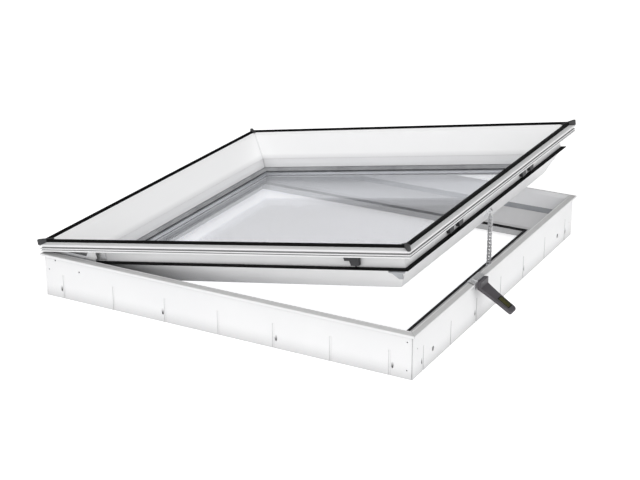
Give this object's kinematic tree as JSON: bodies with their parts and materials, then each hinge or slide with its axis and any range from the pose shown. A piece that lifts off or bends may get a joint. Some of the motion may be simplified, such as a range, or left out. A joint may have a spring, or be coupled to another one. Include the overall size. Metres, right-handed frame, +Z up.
{
  "type": "roof skylight",
  "caption": "Opening flat-roof skylight: insulated white base, hinged white sash with flat double glazing, black weather seals, chain drive and a rain sensor.",
  "frame": {"origin": "centre of the roof opening, on the plane that the base stands on", "axes": "+Z up, -X towards the hinges, +X towards the drive and the rain sensor, +Y away from the front"},
  "size_m": [1.5825, 1.455, 0.4588],
  "materials": {
    "frame_white": "satin moulded plastic",
    "seal_black": "matt",
    "seal_grey": "matt",
    "corner_grey": "matt",
    "plastic_dark": "matt moulded",
    "plastic_grey": "matt moulded",
    "block_dark": "matt moulded",
    "glass": "clear",
    "aluminium_bar": "mill",
    "steel_hinge": "zinc plated",
    "steel_drive": "bright",
    "steel_screws": "zinc plated",
    "clip_metal": "satin",
    "sensor_dark": "satin moulded",
    "bezel_black": "gloss",
    "pad_olive": "gloss with metal tracks",
    "bracket_white": "powder coated"
  },
  "bodies": {
    "base": {"base_rail_front": "frame_white", "base_rail_right": "frame_white", "base_rail_back": "frame_white", "base_rail_left": "frame_white", "base_seal": "seal_black", "sealing_strip": "seal_grey", "duct_cover": "frame_white", "duct_cover_screws": "steel_screws", "hinge_base_leaf_front": "steel_hinge", "hinge_base_leaf_back": "steel_hinge", "hinge_pin_front": "steel_hinge", "hinge_pin_back": "steel_hinge", "hinge_base_screws": "steel_hinge", "drive_housing": "aluminium_bar", "drive_end_cap_front": "plastic_dark", "drive_end_cap_back": "plastic_dark", "drive_motor": "steel_drive", "drive_gearbox": "aluminium_bar", "chain_outer_plates": "steel_drive", "chain_inner_plates": "steel_drive", "chain_rollers": "steel_drive", "chain_pins": "steel_drive", "sensor_clip": "clip_metal", "sensor_body": "sensor_dark", "sensor_bezel": "bezel_black", "sensor_pad": "pad_olive"},
    "sash": {"sash_rail_front": "frame_white", "sash_rail_right": "frame_white", "sash_rail_back": "frame_white", "sash_rail_left": "frame_white", "glazing_bead_front": "frame_white", "glazing_bead_right": "frame_white", "glazing_bead_back": "frame_white", "glazing_bead_left": "frame_white", "outer_pane": "glass", "inner_pane": "glass", "spacer_bar": "aluminium_bar", "edge_seal": "seal_black", "glazing_gasket": "seal_grey", "glazing_seat": "seal_black", "setting_blocks": "block_dark", "top_gasket": "seal_black", "gasket_corner_1": "corner_grey", "gasket_corner_2": "corner_grey", "gasket_corner_3": "corner_grey", "gasket_corner_4": "corner_grey", "lower_gasket": "seal_black", "hinge_sash_leaf_front": "steel_hinge", "hinge_sash_leaf_back": "steel_hinge", "hinge_sash_screws": "steel_hinge", "chain_bracket": "bracket_white", "chain_lug": "steel_drive", "chain_bracket_pin": "steel_drive", "chain_bracket_screws": "steel_screws", "guide_wedge_front": "plastic_grey", "guide_wedge_back": "plastic_grey", "dome_clips": "plastic_dark"},
    "sprocket": {"drive_sprocket": "steel_drive"}
  },
  "joints": [
    {"name": "sash_hinge", "type": "hinge", "parent": "base", "child": "sash", "pos_m": [-0.52, 0, 0.2021], "axis": [0, -1, 0], "range_deg": [-9.88, 0], "deforming": ["chain_outer_plates", "chain_inner_plates", "chain_rollers", "chain_pins"]},
    {"name": "sprocket_spin", "type": "hinge", "parent": "base", "child": "sprocket", "pos_m": [0.6677, 0.01464, 0.0337], "axis": [1, 0, 0], "range_deg": [0, 815]}
  ],
  "couplings": [
    {"joint": "sprocket_spin", "follows": "sash_hinge", "ratio": -81.38}
  ]
}
